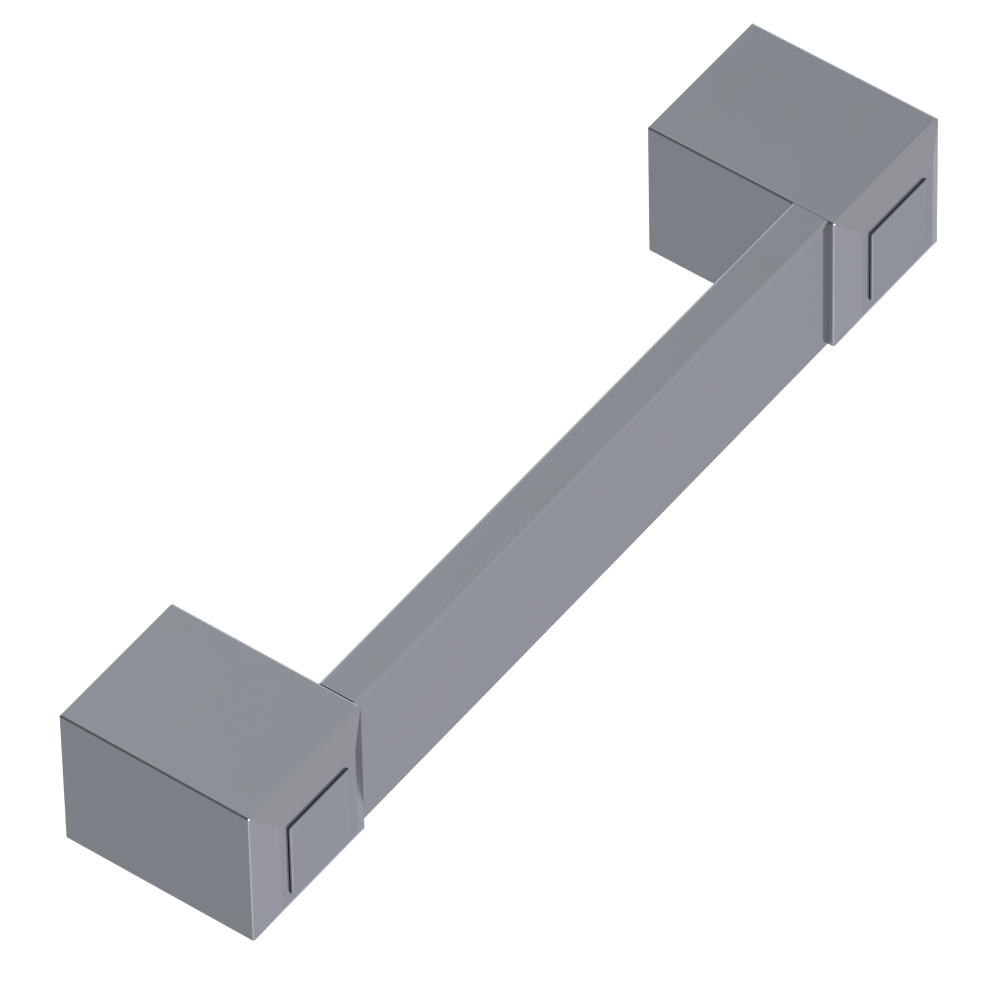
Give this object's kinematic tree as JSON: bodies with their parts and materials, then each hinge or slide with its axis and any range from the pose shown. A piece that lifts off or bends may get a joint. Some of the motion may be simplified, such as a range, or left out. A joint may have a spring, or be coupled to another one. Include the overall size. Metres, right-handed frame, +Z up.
{
  "type": "cabinet handle",
  "caption": "Flat bar handle between two square posts with sloping front bands and square screw caps, fixed from behind.",
  "frame": {"origin": "on the face of the door, midway between the two fixing holes", "axes": "+X along the bar, -Y out of the door towards the user, +Y into the door, +Z up"},
  "size_m": [0.152, 0.0327, 0.024],
  "materials": {
    "post_metal": "fine satin, grey",
    "bar_metal": "fine satin, grey",
    "cap_metal": "fine satin, grey",
    "screw_steel": "plain zinc plated"
  },
  "bodies": {
    "root": {"bar": "bar_metal", "post_left": "post_metal", "post_right": "post_metal", "screw_left": "screw_steel", "screw_right": "screw_steel", "cap_left": "cap_metal", "cap_right": "cap_metal"}
  },
  "joints": []
}
